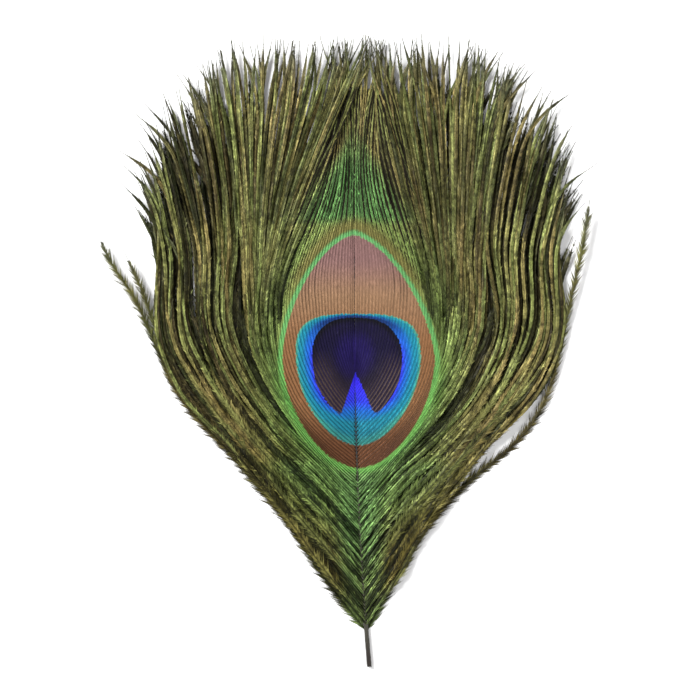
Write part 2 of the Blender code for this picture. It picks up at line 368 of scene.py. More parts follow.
class Barbs:
    """Gathers many barbs' triangles into one mesh, with a map and the values that its material reads."""

    # Each barb has a row of the map. These are shares of it, on each side of its middle.
    RAMUS_BAND, BLADE_BAND, WEB_BAND = 0.05, 0.40, (0.46, 0.49)
    MAP_MARGIN = 0.01  # at each end of a row
    BLADE_STATIONS = np.array((0, 0.55, 1))  # the places along a blade, as shares of its length
    BLADE_TAPER = 1.6
    BLADE_SPAN = 0.42  # half a blade's root on the map, as a share of the distance to the next blade
    RIBBON_LEAST, RIBBON_DROP, RIBBON_ARCH = 0.04, 0.04, 0.2  # least half-width, how low it lies, its arch
    WEB_STATIONS = 60

    def __init__(self, rows):
        self.rows, self.row = rows, -1
        self.points, self.triangles, self.uvs, self.looks, self.grains = [], [], [], [], []
        self.slots = []
        self.count = 0

    def start(self, tint, length):
        self.row += 1
        self.tint, self.length = tint, length

    def add(self, points, triangles, turned, across, s, share, shade=0, slot=0):
        """Points with their place across the barb's row of the map, along the barb and out on a barbule."""
        triangles = triangles[..., ::-1] if turned else triangles
        triangles = triangles.reshape(-1, 3)
        points = points.reshape(-1, 3).copy()
        points[:, 2] = np.clip(points[:, 2], FLOOR_GAP, TOP)
        values = (across, s, share, self.tint + shade)
        across, s, share, tint = (np.broadcast_to(v, points.shape[:1]).astype(float) for v in values)
        self.points.append(points)
        self.triangles.append(triangles + self.count)
        self.slots.append(np.full(len(triangles), slot))
        self.count += len(points)
        along = s / self.length
        row_x = self.MAP_MARGIN + (1 - 2 * self.MAP_MARGIN) * along
        self.uvs.append(np.stack((row_x, (self.row + 0.5 + across) / self.rows), axis=1))
        self.looks.append(np.stack((tint, along, share), axis=1))
        # The material's noise reads these. The factors keep one barb's from its neighbour's.
        self.grains.append(np.stack((s, np.full(len(points), self.row * 3.7), across * 4), axis=1))

    def ramus(self, path, half):
        """The barb's own shaft: a slim tube that tapers to its tip."""
        turns = np.linspace(0, 2 * math.pi, RAMUS_SIDES + 1) + math.pi / RAMUS_SIDES
        rings = (
            path.points[:, None]
            + path.sideways[:, None] * (np.cos(turns)[:, None] * half[:, None, None])
            + path.up[:, None] * (np.sin(turns)[:, None] * half[:, None, None])
        )
        first = np.arange(len(path.s) - 1)[:, None] * (RAMUS_SIDES + 1) + np.arange(RAMUS_SIDES)
        triangles = strip(first, first + RAMUS_SIDES + 1)
        across = np.tile(np.linspace(-1, 1, RAMUS_SIDES + 1) * self.RAMUS_BAND, len(path.s))
        self.add(rings, triangles, path.side < 0, across, np.repeat(path.s, RAMUS_SIDES + 1), 0)

    def blades(self, path, hand, s, row):
        """One row of barbules: flat blades that leave the ramus at an angle and taper to a point."""
        forward, sideways, up = (path.read(v, s) for v in (path.forward, path.sideways, path.up))
        roots = path.read(path.points, s)
        sideways = sideways * hand
        angle, lift, twist = row.angle[:, None], row.lift[:, None], row.twist[:, None]
        heading = np.cos(angle) * forward + np.sin(angle) * (np.cos(lift) * sideways + np.sin(lift) * up)
        flat = unit(forward - np.sum(forward * heading, axis=1, keepdims=True) * heading)
        broad = np.cos(twist) * flat + np.sin(twist) * np.cross(heading, flat)
        q = self.BLADE_STATIONS
        turn = row.bend[:, None] * forward - row.droop[:, None] * up
        middle = roots[:, None] + row.reach[:, None, None] * (
            q[:, None] * heading[:, None] + (q**2)[:, None] * turn[:, None]
        )
        half = 0.5 * row.width[:, None] * (1 - q[:-1] ** self.BLADE_TAPER)
        edge = broad[:, None] * half[..., None]
        points = np.concatenate((middle[:, :-1] - edge, middle[:, :-1] + edge, middle[:, -1:]), axis=1)
        one = np.array(((0, 1, 3), (0, 3, 2), (1, 4, 3)))
        triangles = one[None] + np.arange(len(s))[:, None, None] * points.shape[1]
        span = np.gradient(s) * self.BLADE_SPAN
        share = np.concatenate((q[:-1], q[:-1], q[-1:]))
        offset = np.concatenate((-(1 - q[:-1]), 1 - q[:-1], q[-1:] * 0))
        across = hand * (self.RAMUS_BAND + self.BLADE_BAND * np.tile(share, len(s)))
        at = (s[:, None] + span[:, None] * offset).ravel()
        shade = np.repeat(row.shade, len(share))
        self.add(points, triangles, path.side * hand < 0, across, at, np.tile(share, len(s)), shade)

    def ribbon(self, path, half, places, shade):
        """The inner part of the loose barbules as one arched ribbon, of this half-width at each point."""
        wide_enough = half > self.RIBBON_LEAST
        s = path.s[wide_enough]
        if len(s) < 2:
            return
        half = half[wide_enough][:, None, None]
        middle, sideways, up = (path.read(v, s)[:, None] for v in (path.points, path.sideways, path.up))
        out = np.linspace(-1, 1, places)[:, None]
        points = middle + sideways * out * half - up * (self.RIBBON_DROP + self.RIBBON_ARCH * out**2 * half)
        first = np.arange(len(s) - 1)[:, None] * places + np.arange(places - 1)
        triangles = strip(first, first + places)[..., ::-1]
        out = np.tile(out[:, 0], len(s))
        across = np.sign(out) * (self.RAMUS_BAND + 0.5 * self.BLADE_BAND * abs(out))
        at = np.repeat(s, places)
        shade = np.interp(at, path.s, shade)
        self.add(points, triangles, path.side < 0, across, at, 0.4 + 0.4 * abs(out), shade)

    def web(self, path, first, last):
        """The lower barbules of a close-knit barb, which close the vane from below, as one ribbon."""
        s = np.linspace(first, last, self.WEB_STATIONS)
        middle = path.read(path.points, s) - path.read(path.up, s) * WEB_DROP
        sideways = path.read(path.sideways, s)
        points = np.stack((middle - sideways * WEB_REACH, middle + sideways * WEB_REACH), axis=1)
        first_pair = np.arange(len(s) - 1) * 2
        triangles = strip(first_pair, first_pair + 2)[..., ::-1]
        across = np.tile(self.WEB_BAND, len(s))
        self.add(points, triangles, path.side < 0, across, np.repeat(s, 2), 0.5, slot=1)

    def make(self, name, materials, slot, *nodes):
        mesh = bpy.data.meshes.new(name)
        points = np.concatenate(self.points) * MM
        triangles = np.concatenate(self.triangles)
        mesh.vertices.add(len(points))
        fill(mesh.vertices, "co", points)
        mesh.loops.add(triangles.size)
        fill(mesh.loops, "vertex_index", triangles, np.int32)
        mesh.polygons.add(len(triangles))
        fill(mesh.polygons, "loop_start", np.arange(0, triangles.size, 3), np.int32)
        fill(mesh.polygons, "material_index", np.concatenate(self.slots), np.int32)
        mesh.update(calc_edges=True)
        mesh.uv_layers.new(name="OFBake")
        fill(mesh.uv_layers["OFBake"].data, "uv", np.concatenate(self.uvs)[triangles.ravel()])
        for label, values in (("barb_look", self.looks), ("barb_grain", self.grains)):
            attribute = mesh.attributes.new(label, "FLOAT_VECTOR", "POINT")
            fill(attribute.data, "vector", np.concatenate(values))
        mesh.shade_smooth()
        for material in materials:
            mesh.materials.append(material)
        place_piece(name, mesh, slot, *nodes)


def place(name, data):
    thing = bpy.data.objects.new(name, data)
    bpy.context.scene.collection.objects.link(thing)
    return thing


def place_piece(name, mesh, slot, *nodes):
    piece = place(name, mesh)
    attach(piece, "root")
    if nodes:
        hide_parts(*nodes)


# --- The barbs of each kind ---

# Of each barbule: reach, angle to the ramus, lift above the barb's plane, width, turn about itself, how far
# it bends forward and down as shares of its reach, and how much lighter it is. Angles are in radians.
Row = namedtuple("Row", "reach angle lift width twist bend droop shade")


def locks(rng, guides, narrowest, widest):
    """The guide number that each barb's lock of barbs gathers towards."""
    edges = [-0.2]  # a little below the lowest barb's number, which may slip below 0
    while edges[-1] < GUIDE_COUNT:
        edges.append(edges[-1] + rng.uniform(narrowest, widest))
    edges = np.array(edges)
    found = np.searchsorted(edges, guides) - 1
    return (edges[found] + edges[found + 1]) / 2


def shaft_share(y):
    """The shaft's width and height at this height of the feather, as a share of those at its cut end."""
    low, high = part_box("shaft")
    along = np.clip((y - low.y / MM) / ((high.y - low.y) / MM), 0, 1)
    return 1 - (1 - SHAFT_TIP_SHARE) * along**SHAFT_TAPER


def shaft_top(y):
    """How high the barbs leave the shaft."""
    return BARB_ROOT_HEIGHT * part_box("shaft")[1].z / MM * shaft_share(y)


def to_points(side, out, up, height, loose=0):
    """Points of a barb, of which loose is how much it belongs to the outside of the feather."""
    low_share, high_share = SPREAD[side]
    low = low_share * rise(*SPREAD_LOW_HEIGHTS, up)
    high = high_share * rise(*SPREAD_HIGH_HEIGHTS, up)
    out = out * (1 + loose * (low - high))
    return np.stack((axis_x(up) + side * out, up, height), axis=1)


def herl_reach(rng, layer):
    """How far along its guide a loose barb reaches: nearly to the end, unless it is a broken one."""
    reach = LAST_PLACE * (1 - rng.uniform(*LENGTH_LOSS[layer.piece]))
    if rng.uniform() < BROKEN_BARBS:
        reach *= rng.uniform(*BROKEN_LENGTHS)
    return reach


def herl_guide(rng, side, guide, lock, layer, share):
    """A loose barb's guide number on its way: it gathers into its lock, wanders and clears the parting."""
    by_eye = rise(3.4, 4.8, guide)
    gather = rise(0.15 + 0.45 * by_eye, 0.75 + 0.2 * by_eye, share)
    outer = rise(*OUTER_GUIDES, guide)
    crowded = rise(3.3, 4.1, guide)
    wander = layer.wander * (1 + outer - 0.8 * crowded) * gather * waves(rng, share, 0.5, 1.4)
    guide_now = guide + gather * (lock - guide) + wander
    if layer.piece != "under":
        apart = guide - PARTING[side]
        parted = np.sign(apart) * math.exp(-((apart / PARTING_REACH) ** 2)) * PARTING_SHIFT[side]
        guide_now = guide_now + parted * rise(0.12, 0.35, share) * rise(0.8, 0.6, share)
    return np.clip(guide_now, 0, LAST_LOOSE_GUIDE)


def herl_curl(rng, guide):
    """How far a loose barb's tip bends sideways. The tips of some hook over."""
    curl = rng.normal(0.4, 1.6) + rise(*OUTER_GUIDES, guide) * rng.uniform(-2, 3)
    if rng.uniform() < HOOKED_BARBS:
        curl += rng.uniform(*HOOKS) * (1 - 0.7 * rise(1.8, 0.4, guide))
    return curl


def herl_height(rng, layer, share, base, open_air, raised):
    """How high a loose barb runs, from the shaft to the level of its layer."""
    sway = waves(rng, share, 0.3, 0.8)
    level = {
        "upper": 1 + open_air * (rng.uniform(0.3, 1.2) + 0.2 * sway + 0.5 * raised),
        "crown": 0.7 + rise(0.5, 0.72, share) * (rng.uniform(0.4, 1.6) + 0.2 * sway),
        "middle": 0.55 + 0.3 * rng.uniform() + open_air * (rng.uniform(0, 0.4) + 0.15 * sway),
        "lower": 0.25 + 0.15 * rng.uniform() + 0.1 * sway,
    }[layer.name]
    root = base * (1 if layer.name == "upper" else BURIED_ROOT_SHARE)
    return root + (level - root) * rise(0, 0.25, share)


def herl_path(rng, side, guide, lock, layer, raised):
    """A loose barb: it leaves the shaft in line, gathers and wanders, and ends in a bent or hooked tip."""
    reach = herl_reach(rng, layer)
    at = np.linspace(0, 1, layer.points) * reach
    share = at / LAST_PLACE
    out, up = on_fan(side, herl_guide(rng, side, guide, lock, layer, share), at).T
    tip = rise(0.88, 1.02, at / reach) ** 1.5
    curl = herl_curl(rng, guide)
    out = out + tip * curl
    up = up - tip * abs(curl) * CURL_DROP
    open_air = 1 - tidiness(axis_x(up) + side * out, up)
    height = herl_height(rng, layer, share, shaft_top(up[0]), open_air, raised)
    height = np.clip(height + tip * rng.uniform(-1, 1), LOWEST, HIGHEST)
    roll = HERL_ROLL * open_air * waves(rng, share, 0.08, 0.35)
    return Path(side, to_points(side, out, up, height, rise(*SPREAD_GUIDES, guide)), roll)


def eye_path(rng, side, guide, lock):
    """A barb of the eye: it keeps its place up to the eye's upper edge, then joins its lock in the fringe."""
    reach = LAST_PLACE * (1 - rng.uniform(0, 0.03))
    at = np.linspace(0, 1, EYE_POINTS) * reach
    share = at / LAST_PLACE
    free = rise(0.69, 0.80, share)
    drift = 0.85 * (lock - guide) * free + 0.2 * rise(0.75, 1, share) * waves(rng, share, 0.15, 0.5)
    out, up = on_fan(side, np.clip(guide + drift, *EYE_GUIDES), at).T
    tip = rise(0.86, 1, at / reach) ** 1.6
    out = out + tip * rng.normal(0, 1.5)
    base = shaft_top(up[0])
    over = rise(6.4, 5, guide) * CROSSING_LIFT[side]
    level = 1 + rise(0.66, 0.9, share) * (1.2 * over + 0.3 * rng.uniform())
    height = base + (level - base) * rise(0, 0.2, share)
    height = np.maximum(height + tip * rng.uniform(-0.6, 0.9), LOWEST)
    roll = FRINGE_ROLL * free * waves(rng, share, 0.08, 0.35)
    return Path(side, to_points(side, out, up, height), roll)


def stations(rng, first, last, step, s):
    """Places along a barb whose spacing follows step, a value at each of the path's own places s."""
    fine = np.linspace(first, last, 500)
    passed = np.concatenate(([0], np.cumsum(np.diff(fine) / np.interp(fine[1:], s, step))))
    wanted = np.arange(int(passed[-1])) + 0.5 + rng.uniform(-0.2, 0.2, int(passed[-1]))
    return np.interp(wanted, passed, fine)


def kinds_along(path, dress, neat):
    """The kind of barbule at each point of a barb's path."""
    kinds = dress.root + (dress.main - dress.root) * rise(*ROOT_END, path.s)[:, None]
    kinds = kinds + (dress.tip - kinds) * rise(*TIP_START, path.share)[:, None]
    return kinds + (TIDY_BARBULES - kinds) * neat[:, None]


class Growth:
    """A barb as it is grown: what its barbules are like, and where each of them stands."""

    def __init__(self, rng, barbs, path, dress):
        self.rng, self.barbs, self.path, self.dress = rng, barbs, path, dress
        self.last = path.length - rng.uniform(*BARE_TIP)
        self.neat = tidiness(path.points[:, 0], path.points[:, 1]) * dress.knit
        self.kinds = kinds_along(path, dress, self.neat)
        # Painted shade: darker towards the root, where the barb lies under others.
        self.painted_under_shade = -dress.hidden * rise(0.55, 0.3, path.share)
        first = BARE_ROOT if dress.hidden == 0 else HIDDEN_BARE_SHARE * path.length
        self.s = stations(rng, first, self.last, self.kinds[:, 2], path.s)
        # Loose barbules hang together in small knots.
        self.knots = rng.uniform(*KNOT_LENGTHS)
        self.knot = waves(rng, self.s, self.knots * 0.7, self.knots * 1.5, 3)
        self.tone = TONE_SWING * waves(rng, self.s, *TONE_WAVES, 3)

    def ribbon(self):
        s = self.path.s
        fade = 0.15 + 0.85 * rise(0, FADE_LENGTH, self.last - s)
        half = self.kinds[:, 4] * fade * (s < self.last) * (1 + 0.15 * waves(self.rng, s, 2, 6))
        shade = self.painted_under_shade + TONE_SWING * waves(self.rng, s, *TONE_WAVES, 3)
        self.barbs.ribbon(self.path, half, self.dress.ribbon_points, shade)

    def blades(self, hand):
        """The barbules on one side of the ramus. Numbers that scale angles here are in degrees."""
        s, knot = self.s, self.knot
        reach, angle, _, width, _ = (np.interp(s, self.path.s, kind) for kind in self.kinds.T)
        tidy = np.interp(s, self.path.s, self.neat)
        loose = 1 - tidy
        thinner = 1 - 0.2 * (s / self.path.length)
        fade = 0.35 + 0.65 * rise(0, FADE_LENGTH, self.last - s)
        start = 0.5 + 0.5 * rise(-0.5, 2, s)
        edge = waves(self.rng, s, self.knots * 0.5, self.knots, 2)
        size = reach * (1 + loose * (thinner * fade * (1 + 0.12 * knot + 0.08 * edge) - 1))
        size = size * start * (1 + (0.07 + 0.25 * loose) * self.rng.uniform(-1, 1, len(s)))
        lean = angle + loose * (4 * knot + 3 * edge) + (1.5 + loose) * self.scatter()
        lift = -6 * tidy - 14 * loose + loose * 7 * edge + (1.5 + 1.5 * loose) * self.scatter()
        twist = 4 * self.scatter()
        # Painted light: barbules are lighter where a knot swells and where the edge wave lifts them; tone and
        # scatter are random.
        shade = loose * (0.07 * knot + 0.04 * edge + self.tone + 0.12 * self.scatter())
        shade = shade + np.interp(s, self.path.s, self.painted_under_shade)
        lean, lift, twist = np.radians(lean), np.radians(lift), np.radians(twist)
        bend, droop = 0.1 + 0.12 * loose, 0.02 + 0.05 * loose
        self.barbs.blades(self.path, hand, s, Row(size, lean, lift, width, twist, bend, droop, shade))

    def scatter(self):
        return self.rng.normal(0, 1, len(self.s))


def grow_barb(rng, barbs, path, tint, dress):
    """A barb's ramus with all its barbules: close-knit in and round the eye, and loose elsewhere."""
    barbs.start(tint, path.length)
    barbs.ramus(path, dress.thick + (TIP_THICK - dress.thick) * path.share**RAMUS_TAPER)
    growth = Growth(rng, barbs, path, dress)
    growth.ribbon()
    for hand in (-1, 1):
        growth.blades(hand)


def spread_guides(side, layer):
    """The guide numbers of a layer's barbs."""
    fine = np.linspace(*layer.guides, 300)
    passed = distances(on_fan(side, fine, np.full(len(fine), layer.even_at)))
    return np.interp(np.linspace(0, passed[-1], layer.count), passed, fine)


def gathered(side, layer, guides):
    """The guide number that each barb of a layer gathers towards, and that of its own thin lock."""
    thin = locks(draws(side + 1, THIN_LOCK_DRAWS), guides, *THIN_LOCKS)
    broad = locks(draws(side + 1, BROAD_LOCK_DRAWS), guides, *BROAD_LOCKS)
    if layer.name == "lower":
        return guides, thin
    outer = rise(3.9, 2.9, guides)
    return guides + (0.1 + 0.4 * outer) * (thin - guides) + 0.28 * outer * (broad - guides), thin


def herl_dress(layer, guide):
    """A loose barb's barbules. Those lowest on the shaft have the longest."""
    if layer.piece == "under":
        return UNDER_DRESS
    low = rise(2.8, 1.2, guide)
    main = HERL_BARBULES * (1 - low) + LOW_BARBULES * low
    hidden = CROWN_UNDER_SHADE if layer.piece == "crown" else 0
    return Dress(NEAR_BARBULES, main, HERL_BARBULES, HERL_THICK, hidden=hidden)


def add_layer(side, number, layer, barbs):
    guides = spread_guides(side, layer)
    gather, thin = gathered(side, layer, guides)
    rng = draws(side + 1, number)
    tones = {lock: rng.uniform(*LOCK_TONES) for lock in np.unique(thin)}
    for guide, lock, own_lock in zip(guides, gather, thin):
        rope = rise(*ROPE_GUIDES, guide)
        raised = rope * (rng.uniform() < RAISED_SHARE[side])
        path = herl_path(rng, side, guide + rng.normal(0, GUIDE_SLIP), lock, layer, raised)
        # A barb's random tone. The middle and lower layers' low tones are painted shade under the barbs on
        # top.
        tint = rng.uniform(*layer.tints) + tones[own_lock]
        # Painted light: the raised ropes are painted bright as if lit, and the ropes under them darker as
        # painted shade.
        if layer.name == "upper":
            tint = tint * (1 - 0.7 * (rope - raised)) + raised * (RAISED_HIGHLIGHT - tint)
        grow_barb(rng, barbs, path, tint, herl_dress(layer, guide))


def add_herl(side, materials):
    """The loose barbs on one side of the shaft. The first piece stands for the CAD's solid."""
    counts = {piece: sum(layer.count for layer in LAYERS if layer.piece == piece) for piece in HERL_PIECES}
    pieces = {piece: Barbs(count) for piece, count in counts.items()}
    for number, layer in enumerate(LAYERS):
        add_layer(side, number, layer, pieces[layer.piece])
    word = SIDE_WORD[side]
    pieces["herl"].make(f"{word}_herl_barbs", materials, "herl", f"{word}_herl")
    pieces["crown"].make(f"{word}_crown_barbs", materials, "herl")
    pieces["under"].make(f"{word}_under_barbs", materials, "herl")


def add_eye(side, materials):
    """The barbs of the eye on one side of the shaft, and the fringe that they run out into above it."""
    rng = draws(side + 1, EYE_DRAWS)
    guides = np.linspace(*EYE_GUIDES, EYE_BARBS)
    gather = locks(rng, guides, *EYE_LOCKS)
    barbs = Barbs(EYE_BARBS)
    for guide, lock in zip(guides, gather):
        path = eye_path(rng, side, guide, lock)
        grow_barb(rng, barbs, path, rng.uniform(*EYE_TINTS), EYE_DRESS)
        barbs.web(path, BARE_ROOT, path.s[np.searchsorted(path.points[:, 1], WEB_TOP)])
    word = SIDE_WORD[side]
    barbs.make(f"{word}_eye_barbs", materials, "eye_vane", f"{word}_eye_vane")


def add_strays(materials):
    """The three barbs that stand away from the rest, each a piece of its own."""
    for index, (name, (side, places)) in enumerate(STRAY_BARBS.items()):
        rng = draws(index, STRAY_DRAWS)
        share = np.linspace(0, 1, STRAY_POINTS)
        out, up = through(places, share * (len(places) - 1)).T
        height = STRAY_HEIGHT + STRAY_TIP_LIFT * rise(0.45, 1, share)
        roll = STRAY_ROLL * waves(rng, share, 0.2, 0.6)
        path = Path(side, to_points(side, out, up, height), roll)
        barbs = Barbs(1)
        grow_barb(rng, barbs, path, STRAY_TINT, STRAY_DRESS)
        barbs.make(name.replace("_stray_barb", "_stray"), materials, "herl", name)


# --- Materials ---


def colour(red, green, blue):
    """A colour as a screen shows it, out of 255, in the linear values that shaders take."""
    def linear(value):
        value /= 255
        return value / 12.92 if value <= 0.04045 else ((value + 0.055) / 1.055) ** 2.4
    return (linear(red), linear(green), linear(blue), 1)


class Number:
    """A value in a material's nodes. Sums over it are written like any sum."""

    def __init__(self, graph, socket):
        self.graph, self.socket = graph, socket

    def __abs__(self):
        return self.graph.math("ABSOLUTE", self)

    def at_least(self, other):
        return self.graph.math("MAXIMUM", self, other)

    def at_most(self, other):
        return self.graph.math("MINIMUM", self, other)

    def over(self, other):
        return self.graph.math("GREATER_THAN", self, other)

    def step(self, low, high):
        """0 below low, 1 above high, and smooth between them. A high under low turns it round."""
        if high < low:
            return 1 - self.step(high, low)
        return self.graph.smooth(self, low, high)


def operator(operation, turned=False):
    """A method of Number for a sum of two values, turned where the Number is the second."""
    def method(number, other):
        values = (other, number) if turned else (number, other)
        return number.graph.math(operation, *values)
    return method


SIGNS = {"add": "ADD", "sub": "SUBTRACT", "mul": "MULTIPLY", "truediv": "DIVIDE", "pow": "POWER"}
for sign, sum_node in SIGNS.items():
    setattr(Number, f"__{sign}__", operator(sum_node))
    setattr(Number, f"__r{sign}__", operator(sum_node, turned=True))


class Graph:
    """A material's nodes."""

    def __init__(self, name):
        self.material = bpy.data.materials.new(name)
        self.material.use_nodes = True
        self.nodes = self.material.node_tree.nodes
        self.links = self.material.node_tree.links
        self.shader = self.nodes["Principled BSDF"]

    def feed(self, socket, value):
        if isinstance(value, Number):
            self.links.new(value.socket, socket)
        elif isinstance(value, bpy.types.NodeSocket):
            self.links.new(value, socket)
        else:
            socket.default_value = value

    def math(self, operation, *values):
        node = self.nodes.new("ShaderNodeMath")
        node.operation = operation
        for socket, value in zip(node.inputs, values):
            self.feed(socket, value)
        return Number(self, node.outputs[0])

    def smooth(self, value, low, high):
        node = self.nodes.new("ShaderNodeMapRange")
        node.interpolation_type = "SMOOTHSTEP"
        self.feed(node.inputs["Value"], value)
        node.inputs["From Min"].default_value = low
        node.inputs["From Max"].default_value = high
        return Number(self, node.outputs["Result"])

    def mix(self, share, low, high, how="MIX"):
        node = self.nodes.new("ShaderNodeMix")
        node.data_type = "RGBA"
        node.blend_type = how
        self.feed(node.inputs["Factor"], share)
        self.feed(node.inputs[6], low)
        self.feed(node.inputs[7], high)
        return node.outputs[2]

    def paint(self, base, *coats):
        """A colour with others painted over it in turn, each with its share."""
        for share, coat in coats:
            base = self.mix(share, base, coat)
        return base

    def split(self, vector):
        node = self.nodes.new("ShaderNodeSeparateXYZ")
        self.links.new(vector, node.inputs[0])
        return [Number(self, output) for output in node.outputs]

    def join(self, *values):
        node = self.nodes.new("ShaderNodeCombineXYZ")
        for socket, value in zip(node.inputs, values):
            self.feed(socket, value)
        return node.outputs[0]

    def attribute(self, name):
        node = self.nodes.new("ShaderNodeAttribute")
        node.attribute_name = name
        return node.outputs["Vector"]

    def position(self):
        """The place on the feather, in millimetres."""
        node = self.nodes.new("ShaderNodeTexCoord")
        return [value / MM for value in self.split(node.outputs["Object"])]

    def noise(self, vector, scale, detail=2):
        node = self.nodes.new("ShaderNodeTexNoise")
        node.inputs["Scale"].default_value = scale
        node.inputs["Detail"].default_value = detail
        self.links.new(vector, node.inputs["Vector"])
        return Number(self, node.outputs["Fac"])

    def backfacing(self):
        return Number(self, self.nodes.new("ShaderNodeNewGeometry").outputs["Backfacing"])

    def set(self, **values):
        for name, value in values.items():
            self.feed(self.shader.inputs[name.replace("_", " ")], value)


# The eye's colours
RIM_LOW, RIM_HIGH = colour(108, 168, 80), colour(92, 152, 90)
OLIVE_BAND = colour(102, 90, 48)
BRONZE_BOTTOM, BRONZE_LOW = colour(92, 58, 36), colour(126, 88, 56)
BRONZE_HIGH, BRONZE_MAUVE = colour(135, 104, 78), colour(119, 89, 86)
TEAL_EDGE, TEAL, TEAL_BOTTOM = colour(66, 150, 126), colour(26, 122, 144), colour(28, 92, 104)
BLUE, INNER_BLUE, BLUE_TOP = colour(26, 94, 182), colour(42, 60, 208), colour(14, 44, 96)
HEART_TOP, HEART_LOBES, LOBE_RIBS = colour(15, 9, 42), colour(30, 23, 42), colour(96, 78, 72)
HEART_MIDDLE, HEART_RIM, NOTCH_VIOLET = colour(28, 13, 86), colour(6, 5, 16), colour(52, 40, 224)

# The loose barbs' colours, and those of the barbules seen from below
OLIVE, BRONZE_HERL = colour(112, 119, 65), colour(125, 112, 66)
LOW_BRONZE, LOW_DARK = colour(108, 99, 45), colour(60, 50, 28)
BY_EYE_GREEN, BRIGHT_GREEN, LOW_GREEN = colour(118, 145, 75), colour(104, 156, 74), colour(116, 156, 84)
FAN_GREEN, DIM_BROWN, SHAFT_GREEN = colour(88, 146, 80), colour(50, 40, 20), colour(126, 172, 98)
DULL_TIP, DULL_BACK = colour(86, 88, 72), colour(66, 52, 34)
# Dull brown undersides, made near black as painted shade where they show between the eye's barbs.
UNDERSIDE_AND_GAP_SHADE = colour(12, 11, 7), colour(34, 30, 20)

HORN = colour(32, 30, 24), colour(68, 66, 54)
HORN_CUT_END, HORN_IN_EYE = colour(34, 27, 22), colour(14, 30, 44)
FLOOR = colour(246, 246, 246)


def bronze_colour(graph, y):
    """Brown at the bottom, copper beside the heart and mauve at the top."""
    return graph.paint(
        BRONZE_LOW,
        (y.step(0, 12), BRONZE_HIGH),
        (y.step(-9, -20), BRONZE_BOTTOM),
        (y.step(10, 19), BRONZE_MAUVE),
    )


def blue_colour(graph, y, teal, heart):
    """From teal at the outer edge to blue next to the heart."""
    inner = larger((teal - 1) / (teal - heart), 0).at_most(1) * (1 - 0.6 * y.step(-9, -15))
    return graph.paint(
        TEAL_EDGE,
        (inner.step(0, 0.16), TEAL),
        (inner.step(0.25, 0.7), BLUE),
        (inner.step(0.65, 1) * y.step(4, -2), INNER_BLUE),
        (y.step(-11, -19) * 0.6, TEAL_BOTTOM),
        (inner.step(0.1, 0.8) * y.step(2, 6), BLUE_TOP),
    )


def heart_colour(graph, x, y, heart, rib):
    """The dark heart, with brown ribs in its two lobes and violet in its middle."""
    lobes = y.step(1, -7)
    middle = (((x - 2.3) / 5) ** 2 + ((y + 1) / 6) ** 2).step(1, 0)
    return graph.paint(
        HEART_TOP,
        (lobes, HEART_LOBES),
        (lobes * rib * heart.step(0.4, 0.85), LOBE_RIBS),
        (middle * 0.6, HEART_MIDDLE),
        (heart.step(0.80, 0.97) * y.step(-5, 4), HEART_RIM),
    )


def inside_heart(x, y, heart):
    """1 in the heart, apart from the notch between its lobes, with one soft edge all round."""
    below = NOTCH_TIP[1] - y
    notch = larger(abs(x - NOTCH_TIP[0] + below * NOTCH_LEAN) - below * NOTCH_SLOPE, 0.001)
    depth = larger(1 - heart, 0.0001) * 9  # about millimetres inwards from its outline
    return (depth * notch / (depth + notch)).step(0.04, 0.2)


def eye_colour(graph, x, y, rib, herl):
    """The eye's zones, painted over the colour of the barbs outside it. rib is 1 on a ramus."""
    rim, copper, teal, heart = (zone(x, y, name) for name in ZONES)
    in_heart = inside_heart(x, y, heart)
    in_notch = heart.step(1, 0.9) * (1 - in_heart) * y.step(-12.5, -6)
    painted = graph.paint(
        herl,
        (rim.step(1.17, 1.05) * y.step(6, 17) * 0.8, OLIVE_BAND),
        (rim.step(1.015, 0.985), graph.mix(y.step(-14, 12), RIM_LOW, RIM_HIGH)),
        (copper.step(1.008, 0.992), bronze_colour(graph, y)),
        (teal.step(1.012, 0.988), blue_colour(graph, y, teal, heart)),
        (in_heart, heart_colour(graph, x, y, heart, rib)),
        (in_notch, NOTCH_VIOLET),
    )
    return painted, rim


def herl_colour(graph, x, y, hue, along):
    """The loose barbs: green beside the eye, bronze further out, and dull grey-brown at their tips."""
    copper = zone(x, y, "copper")
    low = y.step(-8, -34)
    from_axis = abs(x - AXIS_X) / larger(45 - y, 0.5)
    from_shaft = abs(x - axis_x(y))
    dim = from_shaft.step(4, 10) * y.step(-4, -20) * (0.1 + 0.3 * x.step(0, 4))
    by_shaft = from_shaft.step(6, 1.5) * y.step(-22, -26) * (0.4 + 0.5 * y.step(-50, -32))
    return graph.paint(
        OLIVE,
        (hue.step(0.35, 0.65), BRONZE_HERL),
        (low * hue.step(0.3, 0.7), LOW_BRONZE),
        (low * hue.step(0.5, 0.25) * 0.8, LOW_DARK),
        (copper.step(1.7, 1.1) * 0.75, BY_EYE_GREEN),
        (copper.step(1.24, 1.04) * y.step(2, -9) * 0.85, BRIGHT_GREEN),
        (y.step(-20, -24) * copper.step(1.9, 1.2) * 0.6, LOW_GREEN),
        (from_axis.step(0.8, 0.3) * y.step(24.5, 27) * y.step(47, 34) * 0.75, FAN_GREEN),
        (dim, DIM_BROWN),
        (by_shaft, SHAFT_GREEN),
        (along.step(0.88, 0.99) * 0.8, DULL_TIP),
    )


